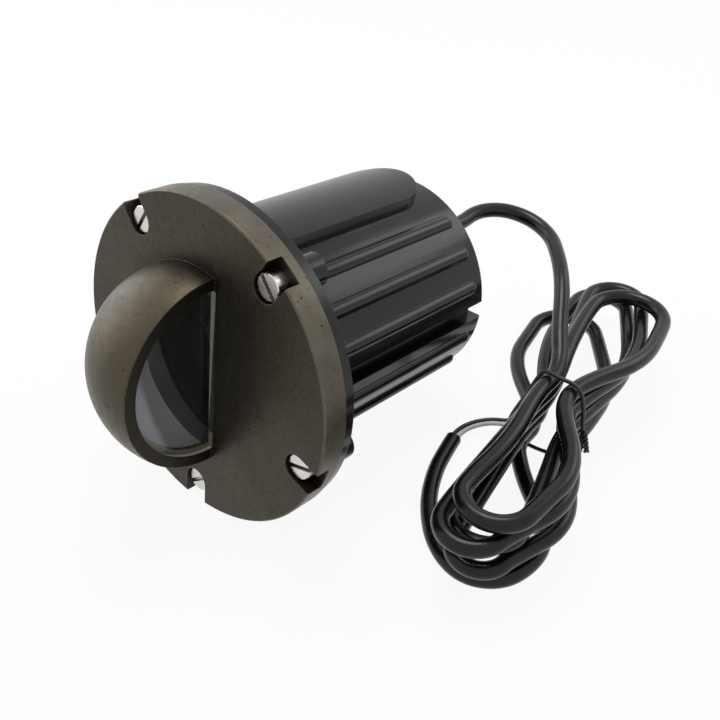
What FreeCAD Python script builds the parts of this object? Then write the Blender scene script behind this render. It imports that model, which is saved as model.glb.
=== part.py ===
import FreeCAD, Part
import math
import os

# In-ground well light lying on its side, with its supply cord tied in a hank beside it.
# Sizes in millimetres. The light is built about its own axis (Z towards the cover, X the way
# the hood looks out, zero at the front of the housing flange) and is then laid down.

# Cover casting
PLATE_R = 65.0
PLATE_T = 10.5
PLATE_EDGE = 0.6
SEAT_GAP = 0.3
HOOD_R = 40.0
HOOD_WALL = 4.5
HOOD_CUT = 8.8
APERTURE_STEP = 0.5
LEDGE_DEPTH = 4.5
POCKET_DEPTH = 6.5
POCKET_R = 5.5

# Window, which leans back into the hood
GLASS_T = 4.0
GLASS_FRONT = 7.0
GLASS_LEAN = 3.0
GLASS_PLAY = 2.6
GLASS_BEAD = 0.6
SILL_STEP = 2.3
INNER_SILL_STEP = 0.3

# Cover screws and their inserts
SCREW_COUNT = 5
SCREW_INSET = 8.9
SCREW_CLOCK = 54.0
SCREW_HEAD_R = 5.1
SCREW_HEAD_H = 5.1
SCREW_CHAMFER = 0.35
SCREW_SHANK_R = 2.4
SCREW_REACH = 10.0
SCREW_RUN = 0.1
SLOT_WIDTH = 1.7
SLOT_SINK = 1.3
SLOT_TURNS = (129.0, 59.0, 95.0, 37.0, 15.0)
INSERT_R = 3.6
INSERT_L = 10.4
SCREW_HOLE_PLAY = 0.4

# Housing
FLANGE_STEP = 0.8
FLANGE_T = 4.5
BODY_R = 45.2
BODY_L = 110.0
BODY_WALL = 3.2
FLOOR_T = 5.0
REAR_ROUND = 2.0
RIB_CLOCK = 2.0
RIB_ANGLES = (15.5, 34.5, 53.5)
RIB_R = 3.4
RIB_RISE = 2.0
RIB_END = 104.0
WALL_LAP = 0.5
PAD_R = 50.5
PAD_HALF = 17.0
PAD_END = 102.0
KEYWAY_W = 7.4
KEYWAY_D = 7.0
BOSS_R = 6.2
BOSS_END = 13.0
POST_R = 4.0
POST_ANGLES = (45.0, 135.0, 225.0, 315.0)
POST_SINK = 3.5

# Gasket
GASKET_W = 3.0
GASKET_SINK = 1.7
GASKET_PROUD = 0.25

# Lamp carrier, strap and socket
CARRIER_Z = -24.0
CARRIER_T = 2.0
CARRIER_PLAY = 0.4
LAMP_PLAY = 0.3
CARRIER_SCREW_R = 1.5
CARRIER_HEAD_R = 3.0
CARRIER_HEAD_H = 2.0
CARRIER_SCREW_L = 9.0
CARRIER_SLOT_W = 0.8
CARRIER_SLOT_SINK = 0.8
STRAP_T = 1.2
STRAP_W = 12.0
STRAP_HALF = 27.0
STRAP_FOOT = 8.0
RIVET_R = 1.5
RIVET_HEAD_R = 2.6
RIVET_HEAD_H = 0.9
SOCKET_W = 18.0
SOCKET_D = 12.0
SOCKET_H = 11.6
CONTACT_R = 1.4
CONTACT_FLOOR = 0.5

# Lamp
LAMP_RIM_R = 25.0
LAMP_RIM_H = 4.0
LAMP_NECK_R = 9.0
LAMP_CUP_L = 28.0
LAMP_WALL = 2.2
LAMP_FLARE = 2.0
LAMP_FLARE_LOW = 4.0
LAMP_FLARE_HIGH = 8.0
LENS_T = 2.0
BOARD_T = 1.4
BOARD_PLAY = 1.0
EMITTER_R = 3.0
BASE_W = 14.0
BASE_D = 9.0
BASE_H = 8.0
PIN_R = 0.75
PIN_L = 7.0
PIN_PITCH = 5.33
PIN_RUN = 0.1

# Cord, its entry and the wiring inside
CORD_R = 3.5
EXIT = (5.0, 17.5)
RELIEF_HOLE_R = 6.5
RELIEF_FLANGE_R = 9.0
RELIEF_FLANGE_T = 3.0
RELIEF_TAPER_R = 7.0
RELIEF_TIP_R = 4.8
RELIEF_L = 21.0
INNER_STUB = 15.0
STOP_W = 3.0
STOP_T = 1.4
STOP_HEAD = 4.0
CORE_R = 1.0
CORE_OFFSET = 1.25
CORE_STEP = 4.0
WIRE_SAG = 0.1
SPLICE_R = 2.6
SPLICE_L = 14.0
SPLICE_BITE = 4.0
SPLICE_HALF = 4.5
SPLICE_START = -4.0

# Socket leads: how far out from the socket and how far down their bends are
LEAD_BENDS = ((6.0, 0.0), (14.0, 3.3))
LEAD_REACH = 16.0
LEAD_RETURN = 8.0

# Lying pose: the cover's rim and the end of the lower pad touch the floor
ROLL = -0.7

# Free lead, from the strain relief to the hank, on the floor's axes
LEAD_STRAIGHT = 13.0
LEAD_ROUTE = (
    (4.4, 117.5, 62.0), (11.7, 131.0, 60.8), (25.5, 137.2, 58.0), (41.0, 132.8, 55.8),
    (52.0, 120.5, 55.6), (60.0, 108.0, 54.4), (66.8, 97.3, 50.4),
)
HANK_START = (73.6, 85.8, 44.6)

# Hank: reach, fan angle and fold radius of each loop, from the top one down
WAIST = (92.0, 58.5)
WAIST_HALF = 11.0
WAIST_LEAN = 1.4
LAYER = 7.75
LOWER_LOOPS = ((82.0, 14.0, 12.5), (81.5, 11.0, 17.5), (85.0, 8.0, 20.0), (86.0, 13.5, 17.5))
UPPER_LOOPS = ((98.5, -4.0, 16.0), (107.5, -14.5, 12.5), (111.0, -18.5, 12.5), (100.5, -27.5, 15.5))
TAIL_SIDE = (121.5, 1.0)
TAIL_TIP = (104.5, -22.0)
TAIL_END = (59.5, 28.5)
TAIL_HEADING = (-0.25, 0.97)

# Stripped far end and the tie
CORE_STRAIGHT = 6.0
CORE_ROUTE = ((60.0, 48.0), (66.0, 53.0), (72.5, 54.5), (75.0, 59.0), (74.6, 64.0))
CORE_TOP = 9.0
TIE_T = 1.2
TIE_W = 2.0
TIE_PLAY = 0.9
TIE_KNOT_R = 1.4
TIE_KNOT_L = 9.0
TIE_KNOT_Z = 12.0
TIE_KNOT_DROP = 0.3

# Small allowances
FLOOR_GAP = 0.25
OVERSHOOT = 1.0
BEND_SHARE = 0.45
GAP_SAMPLE = 1.5

V = FreeCAD.Vector
AXIS = V(0, 0, 1)
FACE_Z = SEAT_GAP + PLATE_T
SCREW_CIRCLE_R = PLATE_R - SCREW_INSET
FLANGE_R = PLATE_R - FLANGE_STEP
APERTURE_R = HOOD_R - HOOD_WALL - APERTURE_STEP
GLASS_R = HOOD_R - HOOD_WALL - GLASS_PLAY
CAVITY_R = BODY_R - BODY_WALL
GASKET_R = (CAVITY_R + SCREW_CIRCLE_R - INSERT_R) / 2
KEYWAY_FLOOR_R = BODY_R - KEYWAY_D
LAMP_FRONT = CARRIER_Z + LAMP_PLAY + LAMP_RIM_H
CUP_END = LAMP_FRONT - LAMP_RIM_H - LAMP_CUP_L
BASE_END = CUP_END - BASE_H
SOCKET_TOP = BASE_END - LAMP_PLAY
SOCKET_END = SOCKET_TOP - SOCKET_H
INNER_END = BODY_L - INNER_STUB
SPLICE_Z = (SOCKET_END - STRAP_T - INNER_END) / 2
RELIEF_TIP = BODY_L + RELIEF_L
REST = CORD_R + FLOOR_GAP
LOWEST = REST + TIE_PLAY + TIE_T
TILT = math.degrees(math.atan2(PLATE_R - PAD_R, PAD_END + SEAT_GAP))


def cylinder(radius, low, high, x=0.0, y=0.0):
    return Part.makeCylinder(radius, high - low, V(x, y, low), AXIS)


def box(x0, x1, y0, y1, z0, z1):
    return Part.makeBox(x1 - x0, y1 - y0, z1 - z0, V(x0, y0, z0))


def ring(outer, inner, low, high):
    return cylinder(outer, low, high).cut(cylinder(inner, low, high))


def turned(shape, degrees):
    copy = shape.copy()
    copy.rotate(V(0, 0, 0), AXIS, degrees)
    return copy


def revolved(profile):
    points = [V(r, 0, z) for r, z in profile]
    face = Part.Face(Part.makePolygon(points + points[:1]))
    return face.revolve(V(0, 0, 0), AXIS, 360)


def screw_places():
    step = 360.0 / SCREW_COUNT
    angles = [math.radians(SCREW_CLOCK + step * i) for i in range(SCREW_COUNT)]
    return [(SCREW_CIRCLE_R * math.cos(a), SCREW_CIRCLE_R * math.sin(a)) for a in angles]


def post_places():
    angles = [math.radians(RIB_CLOCK + a) for a in POST_ANGLES]
    radius = CAVITY_R - POST_SINK
    return [(radius * math.cos(a), radius * math.sin(a)) for a in angles]


# Cover

def light_space():
    """Hollow behind the window: the dome's inside and the stepped aperture through the plate."""
    dome = Part.makeSphere(HOOD_R - HOOD_WALL, V(0, 0, FACE_Z))
    dome = dome.common(box(-PLATE_R, PLATE_R, -PLATE_R, PLATE_R, FACE_Z, FACE_Z + PLATE_R))
    upper = cylinder(APERTURE_R, FACE_Z - LEDGE_DEPTH, FACE_Z)
    upper = upper.common(box(-PLATE_R, GLASS_FRONT + SILL_STEP, -PLATE_R, PLATE_R, 0, FACE_Z))
    lower = cylinder(APERTURE_R, -OVERSHOOT, FACE_Z - LEDGE_DEPTH)
    inner_sill = GLASS_FRONT - GLASS_T - INNER_SILL_STEP
    lower = lower.common(box(-PLATE_R, inner_sill, -PLATE_R, PLATE_R, -OVERSHOOT, FACE_Z))
    return dome.fuse([upper, lower])


def cover_casting():
    plate = cylinder(PLATE_R, SEAT_GAP, FACE_Z - PLATE_EDGE)
    edge = Part.makeCone(PLATE_R, PLATE_R - PLATE_EDGE, PLATE_EDGE, V(0, 0, FACE_Z - PLATE_EDGE), AXIS)
    dome = Part.makeSphere(HOOD_R, V(0, 0, FACE_Z))
    dome = dome.common(box(-HOOD_R, HOOD_CUT, -HOOD_R, HOOD_R, FACE_Z - PLATE_EDGE, FACE_Z + HOOD_R))
    shape = plate.fuse([edge, dome]).cut(light_space())
    floor_z = FACE_Z - POCKET_DEPTH
    above = FACE_Z + OVERSHOOT
    for x, y in screw_places():
        angle = math.degrees(math.atan2(y, x))
        notch = turned(box(SCREW_CIRCLE_R, PLATE_R + OVERSHOOT, -POCKET_R, POCKET_R, floor_z, above), angle)
        pocket = cylinder(POCKET_R, floor_z, above, x, y)
        hole = cylinder(SCREW_SHANK_R + SCREW_HOLE_PLAY, -OVERSHOOT, floor_z, x, y)
        shape = shape.cut(pocket.fuse([notch, hole]))
    return shape.removeSplitter()


def leaned(shape):
    """Shape tipped back about the line where the pane's front meets the cover's face."""
    copy = shape.copy()
    copy.rotate(V(GLASS_FRONT, 0, FACE_Z), V(0, 1, 0), -GLASS_LEAN)
    return copy


def window_glass():
    start = V(GLASS_FRONT - GLASS_T, 0, FACE_Z)
    disc = Part.makeCylinder(GLASS_R, GLASS_T, start, V(1, 0, 0))
    low = FACE_Z - LEDGE_DEPTH + GLASS_BEAD
    return leaned(disc.common(box(-PLATE_R, PLATE_R, -PLATE_R, PLATE_R, low, FACE_Z + HOOD_R)))


def window_sealant():
    """Bead all round the pane, which also fills the sill in front of it."""
    back = GLASS_FRONT - GLASS_T
    low = FACE_Z - LEDGE_DEPTH
    slab = leaned(box(back, GLASS_FRONT, -HOOD_R, HOOD_R, low - OVERSHOOT, FACE_Z + HOOD_R))
    sill = box(GLASS_FRONT - GLASS_T / 2, GLASS_FRONT + SILL_STEP, -HOOD_R, HOOD_R, low, FACE_Z)
    bead = slab.common(box(-PLATE_R, PLATE_R, -PLATE_R, PLATE_R, low, FACE_Z + HOOD_R)).fuse(sill)
    return light_space().common(bead).cut(window_glass()).removeSplitter()


def cover_screws():
    seat = FACE_Z - POCKET_DEPTH
    top = seat + SCREW_HEAD_H
    screws = []
    for (x, y), slot_turn in zip(screw_places(), SLOT_TURNS):
        head = cylinder(SCREW_HEAD_R, seat, top)
        head = head.makeChamfer(SCREW_CHAMFER, [e for e in head.Edges if abs(e.BoundBox.ZMin - top) < 1e-6])
        half = SLOT_WIDTH / 2
        groove = box(-SCREW_HEAD_R, SCREW_HEAD_R, -half, half, top - SLOT_SINK, top + OVERSHOOT)
        screw = head.cut(turned(groove, slot_turn)).fuse(cylinder(SCREW_SHANK_R, -SCREW_REACH, seat))
        screw.translate(V(x, y, 0))
        screws.append(screw.removeSplitter())
    return Part.makeCompound(screws)


# Housing

def keyway(angle, grow, low):
    half = KEYWAY_W / 2 + grow
    slot = box(KEYWAY_FLOOR_R - grow, BODY_R + OVERSHOOT, -half, half, -BODY_L - OVERSHOOT, low)
    return turned(slot, angle)


def rib(angle):
    centre = BODY_R + RIB_RISE - RIB_R
    bar = cylinder(RIB_R, -RIB_END + RIB_R, -FLANGE_T, centre)
    end = Part.makeSphere(RIB_R, V(centre, 0, -RIB_END + RIB_R))
    return turned(bar.fuse(end), angle)


def pad(angle):
    straight = PAD_END - PAD_HALF
    outer = PAD_R + OVERSHOOT
    run = box(CAVITY_R, outer, -PAD_HALF, PAD_HALF, -straight, -FLANGE_T)
    end = Part.makeCylinder(PAD_HALF, outer - CAVITY_R, V(CAVITY_R, 0, -straight), V(1, 0, 0))
    return turned(run.fuse(end).common(cylinder(PAD_R, -BODY_L, 0)), angle)


def housing_body():
    barrel = cylinder(BODY_R, -BODY_L, -FLANGE_T / 2)
    rear_edges = [e for e in barrel.Edges if abs(e.BoundBox.ZMax + BODY_L) < 1e-6]
    barrel = barrel.makeFillet(REAR_ROUND, rear_edges)
    added = [cylinder(FLANGE_R, -FLANGE_T, 0)]
    for side in (RIB_CLOCK, RIB_CLOCK + 180):
        added += [rib(side + sign * a) for a in RIB_ANGLES for sign in (1, -1)]
        added.append(pad(side + 90))
    added += [cylinder(BOSS_R, -BOSS_END, -FLANGE_T / 2, x, y) for x, y in screw_places()]
    shape = barrel.fuse(added)
    shape = shape.cut(cylinder(CAVITY_R, -BODY_L + FLOOR_T, OVERSHOOT))
    bore = cylinder(CAVITY_R + WALL_LAP, -BODY_L + FLOOR_T / 2, -FLANGE_T)
    walls = [keyway(RIB_CLOCK + a, BODY_WALL, -FLANGE_T).common(bore) for a in (0, 180)]
    posts = [cylinder(POST_R, -BODY_L + FLOOR_T / 2, CARRIER_Z - CARRIER_T, x, y) for x, y in post_places()]
    shape = shape.fuse(walls + [post.common(bore) for post in posts])
    cuts = [keyway(RIB_CLOCK + a, 0.0, -FLANGE_T) for a in (0, 180)]
    cuts += [cylinder(INSERT_R, -INSERT_L - SEAT_GAP, OVERSHOOT, x, y) for x, y in screw_places()]
    pilot_z = CARRIER_Z - CARRIER_SCREW_L
    cuts += [cylinder(CARRIER_SCREW_R, pilot_z, CARRIER_Z, x, y) for x, y in post_places()]
    cuts.append(ring(GASKET_R + GASKET_W / 2, GASKET_R - GASKET_W / 2, -GASKET_SINK, OVERSHOOT))
    cuts.append(cylinder(RELIEF_HOLE_R, -BODY_L - OVERSHOOT, -BODY_L + FLOOR_T + OVERSHOOT, *EXIT))
    return shape.cut(cuts).removeSplitter()


def cover_gasket():
    return ring(GASKET_R + GASKET_W / 2, GASKET_R - GASKET_W / 2, -GASKET_SINK, GASKET_PROUD)


def screw_inserts():
    bore = SCREW_SHANK_R + SCREW_RUN
    tube = ring(INSERT_R, bore, -INSERT_L - SEAT_GAP, -SEAT_GAP)
    inserts = []
    for x, y in screw_places():
        insert = tube.copy()
        insert.translate(V(x, y, 0))
        inserts.append(insert)
    return Part.makeCompound(inserts)


# Lamp carrier and socket

def carrier_plate():
    disc = cylinder(CAVITY_R - CARRIER_PLAY, CARRIER_Z - CARRIER_T, CARRIER_Z)
    low = CARRIER_Z - CARRIER_T - OVERSHOOT
    high = CARRIER_Z + OVERSHOOT
    cuts = [cylinder(LAMP_RIM_R - LAMP_WALL + CARRIER_PLAY, low, high)]
    cuts += [keyway(RIB_CLOCK + a, BODY_WALL + CARRIER_PLAY, 0) for a in (0, 180)]
    cuts += [cylinder(CARRIER_SCREW_R, low, high, x, y) for x, y in post_places()]
    cuts += [cylinder(RIVET_R, low, high, x, y) for x, y in rivet_places()]
    return disc.cut(cuts)


def carrier_screws():
    screws = []
    for x, y in post_places():
        shank = cylinder(CARRIER_SCREW_R, CARRIER_Z - CARRIER_SCREW_L, CARRIER_Z, x, y)
        head = cylinder(CARRIER_HEAD_R, CARRIER_Z, CARRIER_Z + CARRIER_HEAD_H, x, y)
        top = CARRIER_Z + CARRIER_HEAD_H
        half = CARRIER_SLOT_W / 2
        deep = top - CARRIER_SLOT_SINK
        groove = box(x - CARRIER_HEAD_R, x + CARRIER_HEAD_R, y - half, y + half, deep, top + OVERSHOOT)
        screws.append(shank.fuse(head.cut(groove)).removeSplitter())
    return Part.makeCompound(screws)


def rivet_places():
    return [(0.0, sign * (STRAP_HALF + STRAP_FOOT / 2)) for sign in (1, -1)]


def socket_strap():
    top = CARRIER_Z - CARRIER_T
    low = SOCKET_END - STRAP_T
    half = STRAP_W / 2
    base = box(-half, half, -STRAP_HALF, STRAP_HALF, low, SOCKET_END)
    pieces = []
    for sign in (1, -1):
        inner = sign * (STRAP_HALF - STRAP_T)
        outer = sign * STRAP_HALF
        foot = sign * (STRAP_HALF + STRAP_FOOT)
        pieces.append(box(-half, half, min(inner, outer), max(inner, outer), low, top))
        pieces.append(box(-half, half, min(inner, foot), max(inner, foot), top - STRAP_T, top))
    shape = base.fuse(pieces)
    holes = [cylinder(RIVET_R, top - STRAP_T - OVERSHOOT, top + OVERSHOOT, x, y) for x, y in rivet_places()]
    return shape.cut(holes).removeSplitter()


def strap_rivets():
    low = CARRIER_Z - CARRIER_T - STRAP_T
    rivets = []
    for x, y in rivet_places():
        shank = cylinder(RIVET_R, low, CARRIER_Z, x, y)
        upper = cylinder(RIVET_HEAD_R, CARRIER_Z, CARRIER_Z + RIVET_HEAD_H, x, y)
        lower = cylinder(RIVET_HEAD_R, low - RIVET_HEAD_H, low, x, y)
        rivets.append(shank.fuse([upper, lower]).removeSplitter())
    return Part.makeCompound(rivets)


def pin_places():
    return [(sign * PIN_PITCH / 2, 0.0) for sign in (1, -1)]


def lead_height():
    return SOCKET_END + SOCKET_H / 4


def lamp_socket():
    half_w = SOCKET_W / 2
    half_d = SOCKET_D / 2
    body = box(-half_w, half_w, -half_d, half_d, SOCKET_END, SOCKET_TOP)
    low = lead_height() + CORE_R
    return body.cut([cylinder(CONTACT_R, low, SOCKET_TOP + OVERSHOOT, x, y) for x, y in pin_places()])


def socket_contacts():
    low = lead_height() + CORE_R
    tubes = []
    for x, y in pin_places():
        tube = cylinder(CONTACT_R, low, SOCKET_TOP, x, y)
        bore = cylinder(PIN_R + PIN_RUN, low + CONTACT_FLOOR, SOCKET_TOP + OVERSHOOT, x, y)
        tubes.append(tube.cut(bore))
    return Part.makeCompound(tubes)


# Lamp

def lamp_shell():
    seat = LAMP_FRONT - LAMP_RIM_H
    cup_r = LAMP_RIM_R - LAMP_WALL
    inner_r = cup_r - LAMP_WALL
    inner_end = CUP_END + LAMP_WALL * 2
    lens_seat = LAMP_FRONT - LENS_T - SEAT_GAP
    flare_low = CUP_END + LAMP_FLARE_LOW
    flare_high = seat - LAMP_FLARE_HIGH
    return revolved((
        (0, CUP_END), (LAMP_NECK_R, CUP_END), (LAMP_NECK_R + LAMP_FLARE, flare_low),
        (cup_r - LAMP_FLARE, flare_high), (cup_r, seat), (LAMP_RIM_R, seat), (LAMP_RIM_R, LAMP_FRONT),
        (cup_r, LAMP_FRONT), (cup_r, lens_seat), (inner_r, lens_seat), (inner_r - LAMP_FLARE, flare_high),
        (LAMP_NECK_R, inner_end), (0, inner_end),
    ))


def lamp_lens():
    low = LAMP_FRONT - LENS_T - SEAT_GAP
    return cylinder(LAMP_RIM_R - LAMP_WALL, low, low + LENS_T)


def lamp_board():
    low = CUP_END + LAMP_WALL * 2
    board = cylinder(LAMP_NECK_R - BOARD_PLAY, low, low + BOARD_T)
    emitter = Part.makeSphere(EMITTER_R, V(0, 0, low + BOARD_T))
    above = box(-EMITTER_R, EMITTER_R, -EMITTER_R, EMITTER_R, low + BOARD_T / 2, low + BOARD_T + EMITTER_R)
    return board.fuse(emitter.common(above)).removeSplitter()


def lamp_base():
    return box(-BASE_W / 2, BASE_W / 2, -BASE_D / 2, BASE_D / 2, BASE_END, CUP_END)


def lamp_pins():
    return Part.makeCompound([cylinder(PIN_R, BASE_END - PIN_L, BASE_END, x, y) for x, y in pin_places()])


# Wires and cord

def arc_radius(before, corner, after):
    """Radius of the tangent arc at a corner of a route: as large as its two runs allow."""
    back = before - corner
    ahead = after - corner
    turn = math.pi - back.getAngle(ahead)
    return BEND_SHARE * min(back.Length, ahead.Length) / math.tan(turn / 2), turn


def route_tube(points, radius):
    """Round tube along straight runs joined by tangent arcs."""
    edges = []
    at = points[0]
    for before, corner, after in zip(points, points[1:], points[2:]):
        bend, turn = arc_radius(before, corner, after)
        back = (before - corner).normalize()
        ahead = (after - corner).normalize()
        tangent = bend * math.tan(turn / 2)
        middle = (back + ahead).normalize() * (bend / math.cos(turn / 2) - bend)
        start = corner + back * tangent
        end = corner + ahead * tangent
        edges.append(Part.LineSegment(at, start).toShape())
        edges.append(Part.Arc(start, corner + middle, end).toShape())
        at = end
    edges.append(Part.LineSegment(at, points[-1]).toShape())
    return swept(edges, points[0], points[1] - points[0], radius)


def swept(edges, start, heading, radius):
    path = Part.Wire(edges)
    section = Part.Wire([Part.makeCircle(radius, start, heading)])
    tube = path.makePipeShell([section], True, False)
    share = tube.Volume / (math.pi * radius ** 2 * path.Length)
    print("tube length %.1f, volume over section times length %.4f" % (path.Length, share))
    return tube


def socket_lead(sign):
    z = lead_height()
    x = sign * PIN_PITCH / 2
    far = sign * SPLICE_HALF
    start = -SOCKET_D / 2
    mouth = SPLICE_START + SPLICE_BITE
    aside = sign * (STRAP_W / 2 + 4 * CORE_R)
    points = [V(x, start, z)]
    for across, (out, down) in zip((x, aside), LEAD_BENDS):
        points.append(V(across, start - out, z - down))
    points.append(V(aside, start - LEAD_REACH, SPLICE_Z + CORE_STEP))
    points.append(V(far, start - LEAD_RETURN, SPLICE_Z))
    points.append(V(far, mouth, SPLICE_Z - WIRE_SAG))
    return route_tube(points, CORE_R)


def supply_core(sign):
    x, y = EXIT
    near = x + sign * CORE_OFFSET
    far = sign * SPLICE_HALF
    mouth = SPLICE_START + SPLICE_L - SPLICE_BITE
    points = [V(near, y, -INNER_END), V(near, y, -INNER_END + CORE_STEP)]
    points += [V(far, y - CORE_STEP, SPLICE_Z), V(far, mouth, SPLICE_Z - WIRE_SAG)]
    return route_tube(points, CORE_R)


def wire_splices():
    splices = []
    for sign in (1, -1):
        start = V(sign * SPLICE_HALF, SPLICE_START, SPLICE_Z)
        sleeve = Part.makeCylinder(SPLICE_R, SPLICE_L, start, V(0, 1, 0))
        bore = Part.makeCylinder(CORE_R + SEAT_GAP, SPLICE_L, start, V(0, 1, 0))
        splices.append(sleeve.cut(bore))
    return Part.makeCompound(splices)


def strain_relief():
    x, y = EXIT
    inside = -BODY_L + FLOOR_T
    outside = -BODY_L - RELIEF_FLANGE_T
    plug = cylinder(RELIEF_HOLE_R, -BODY_L, inside, x, y)
    lip = cylinder(RELIEF_FLANGE_R, inside, inside + RELIEF_FLANGE_T, x, y)
    collar = cylinder(RELIEF_FLANGE_R, outside, -BODY_L, x, y)
    taper_l = RELIEF_L - RELIEF_FLANGE_T
    taper = Part.makeCone(RELIEF_TIP_R, RELIEF_TAPER_R, taper_l, V(x, y, -RELIEF_TIP), AXIS)
    shape = plug.fuse([lip, collar, taper])
    bore = cylinder(CORD_R, -RELIEF_TIP - OVERSHOOT, inside + RELIEF_FLANGE_T + OVERSHOOT, x, y)
    return shape.cut(bore).removeSplitter()


def cord_inner():
    return cylinder(CORD_R, -RELIEF_TIP, -INNER_END, *EXIT)


def cord_stop():
    x, y = EXIT
    low = -BODY_L + FLOOR_T + RELIEF_FLANGE_T
    band = cylinder(CORD_R + STOP_T, low, low + STOP_W, x, y)
    outer = x + CORD_R + STOP_HEAD
    head = box(x, outer, y - STOP_HEAD / 2, y + STOP_HEAD / 2, low, low + STOP_W)
    bore = cylinder(CORD_R, low - OVERSHOOT, low + STOP_W + OVERSHOOT, x, y)
    return band.fuse(head).cut(bore).removeSplitter()


def cord_lead(exit_point, heading):
    points = [exit_point, exit_point + heading * LEAD_STRAIGHT]
    points += [V(*p) for p in LEAD_ROUTE] + [V(*HANK_START)]
    radii = [arc_radius(*three)[0] for three in zip(points, points[1:], points[2:])]
    print("lead bend radii", [round(r, 1) for r in radii])
    return route_tube(points, CORD_R)


def biarc_arcs(p0, t0, p1, t1):
    """Two tangent arcs from point p0 heading t0 to point p1 heading t1, as (start, heading, end)."""
    span = p1 - p0
    both = t0 + t1
    spread = 2 * (1 - t0.dot(t1))
    if spread < 1e-9:
        reach = span.dot(span) / (2 * span.dot(both))
    else:
        along = span.dot(both)
        reach = (math.sqrt(along ** 2 + spread * span.dot(span)) - along) / spread
    corner0 = p0 + t0 * reach
    corner1 = p1 - t1 * reach
    joint = (corner0 + corner1) * 0.5
    return (p0, t0, joint), (joint, (corner1 - corner0).normalize(), p1)


def arc_point(start, heading, end, share):
    """Point at a share of the arc that leaves start along heading and reaches end."""
    chord = end - start
    half_turn = heading.getAngle(chord)
    if half_turn < 1e-7:
        return start + chord * share
    radius = chord.Length / (2 * math.sin(half_turn))
    side = (chord - heading * chord.dot(heading)).normalize()
    angle = 2 * half_turn * share
    return start + heading * (radius * math.sin(angle)) + side * (radius * (1 - math.cos(angle)))


def loop_fold(loop, sign, height):
    """Three stations of one fold, in at its side, round its tip and out, against the clock from above."""
    reach, fan, radius = loop
    angle = math.radians(fan)
    out = V(math.sin(angle), sign * math.cos(angle), 0)
    across = V(-sign * math.cos(angle), math.sin(angle), 0)
    tip = V(WAIST[0], WAIST[1], height) + out * reach
    centre = tip - out * radius
    return [(centre - across * radius, out), (tip, across), (centre + across * radius, out * -1)]


def waist_station(sign, layer):
    aside = sign * (WAIST_HALF - WAIST_LEAN * layer)
    return V(WAIST[0] + aside, WAIST[1], LOWEST + LAYER * layer), V(0, sign, 0)


def hank_stations():
    """Points and headings along the hank: down its left side, round below, up its right, round above."""
    layers = len(LOWER_LOOPS)
    start = V(*HANK_START)
    heading = (start - V(*LEAD_ROUTE[-1])).normalize()
    stations = [(start, heading), (start + heading * 2 * CORD_R, heading)]
    for i, (lower, upper) in enumerate(zip(LOWER_LOOPS, UPPER_LOOPS)):
        layer = layers - i
        stations.append(waist_station(-1, layer))
        stations += loop_fold(lower, -1, LOWEST + LAYER * layer)
        stations.append(waist_station(1, layer))
        lying_z = LOWEST + LAYER * (layer - 1) if layer > 1 else REST
        stations += loop_fold(upper, 1, lying_z)
    stations.append(waist_station(-1, 0))
    stations.append((V(*TAIL_SIDE, REST), V(0, -1, 0)))
    stations.append((V(*TAIL_TIP, REST), V(-1, 0, 0)))
    tail = V(*TAIL_HEADING, 0).normalize()
    stations.append((V(*TAIL_END, REST), tail))
    stations.append((V(*TAIL_END, REST) + tail * 2 * CORD_R, tail))
    return stations


def hank_arcs():
    stations = hank_stations()
    arcs = []
    for (p0, t0), (p1, t1) in zip(stations, stations[1:]):
        arcs += biarc_arcs(p0, t0, p1, t1)
    return arcs


def arc_samples(arcs):
    points = []
    for start, heading, end in arcs:
        count = max(2, int((end - start).Length / GAP_SAMPLE))
        points += [arc_point(start, heading, end, i / count) for i in range(count)]
    return points


def least_self_gap(arcs):
    """Least gap between the tube and itself, on points sampled along its arcs."""
    points = arc_samples(arcs)
    run = [0.0]
    for a, b in zip(points, points[1:]):
        run.append(run[-1] + (b - a).Length)
    least = 1e9
    for i, a in enumerate(points):
        for j in range(i + 1, len(points)):
            if run[j] - run[i] > 8 * CORD_R:
                least = min(least, (points[j] - a).Length)
    return least - 2 * CORD_R


def cord_hank():
    arcs = hank_arcs()
    print("hank least self gap %.2f" % least_self_gap(arcs))
    edges = []
    for start, heading, end in arcs:
        if heading.getAngle(end - start) < 1e-6:
            edges.append(Part.LineSegment(start, end).toShape())
        else:
            edges.append(Part.Arc(start, arc_point(start, heading, end, 0.5), end).toShape())
    start, heading, end = arcs[0]
    return swept(edges, start, heading, CORD_R)


def core_route():
    """Middle line of the two far cores, from the end of the jacket through the tie."""
    end, heading = hank_stations()[-1]
    points = [end, end + heading * CORE_STRAIGHT]
    rise = (CORE_TOP - REST) / len(CORE_ROUTE)
    points += [V(x, y, REST + rise * (i + 1)) for i, (x, y) in enumerate(CORE_ROUTE)]
    return points


def far_core(sign):
    middle = core_route()
    points = []
    for i, point in enumerate(middle):
        along = middle[min(i + 1, len(middle) - 1)] - middle[max(i - 1, 0)]
        side = V(along.y, -along.x, 0).normalize()
        points.append(point + side * (sign * CORE_OFFSET))
    return route_tube(points, CORE_R)


def tie_crossings():
    """Where the strands and the cores pass through the tie, as (x, z), on both of its edges."""
    places = []
    tracks = [arc_samples(hank_arcs()), core_route()]
    for edge in (WAIST[1] - TIE_W / 2, WAIST[1] + TIE_W / 2):
        for track in tracks:
            for a, b in zip(track, track[1:]):
                if (a.y - edge) * (b.y - edge) < 0:
                    place = a + (b - a) * ((edge - a.y) / (b.y - a.y))
                    places.append((place.x, max(place.z, LOWEST)))
    return places


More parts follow.
